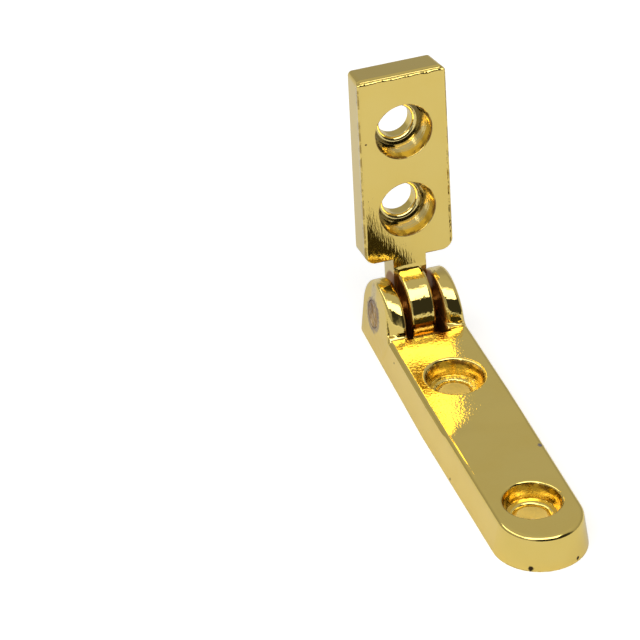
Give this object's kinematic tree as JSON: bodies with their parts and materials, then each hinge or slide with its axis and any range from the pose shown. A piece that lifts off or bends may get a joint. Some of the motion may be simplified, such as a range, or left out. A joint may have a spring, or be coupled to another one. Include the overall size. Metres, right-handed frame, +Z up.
{
  "type": "spring stop hinge",
  "caption": "Small cast stop hinge for a box lid: long round-ended leaf with two ears, short block leaf that opens past upright, riveted pin and hidden leaf spring.",
  "frame": {"origin": "on the underside of the long leaf, midway between its two screw holes and midway across the hinge", "axes": "+X along the long leaf to its round end, +Y across the hinge along the pin, +Z up from the underside"},
  "size_m": [0.0395, 0.008, 0.0246],
  "materials": {
    "long_leaf": "polished yellow gold plating on a die casting",
    "short_leaf": "polished yellow gold plating on a die casting",
    "hinge_pin": "plated over with the ears, worn at its rim",
    "leaf_spring": "rolled phosphor bronze strip"
  },
  "bodies": {
    "base": {"long_leaf": "long_leaf", "hinge_pin": "hinge_pin", "leaf_spring": "leaf_spring"},
    "lid": {"short_leaf": "short_leaf"}
  },
  "joints": [
    {"name": "lid_swing", "type": "hinge", "parent": "base", "child": "lid", "pos_m": [-0.01911, 0, 0.00315], "axis": [0, 1, 0], "range_deg": [0, 97.5], "deforming": ["leaf_spring"]}
  ]
}
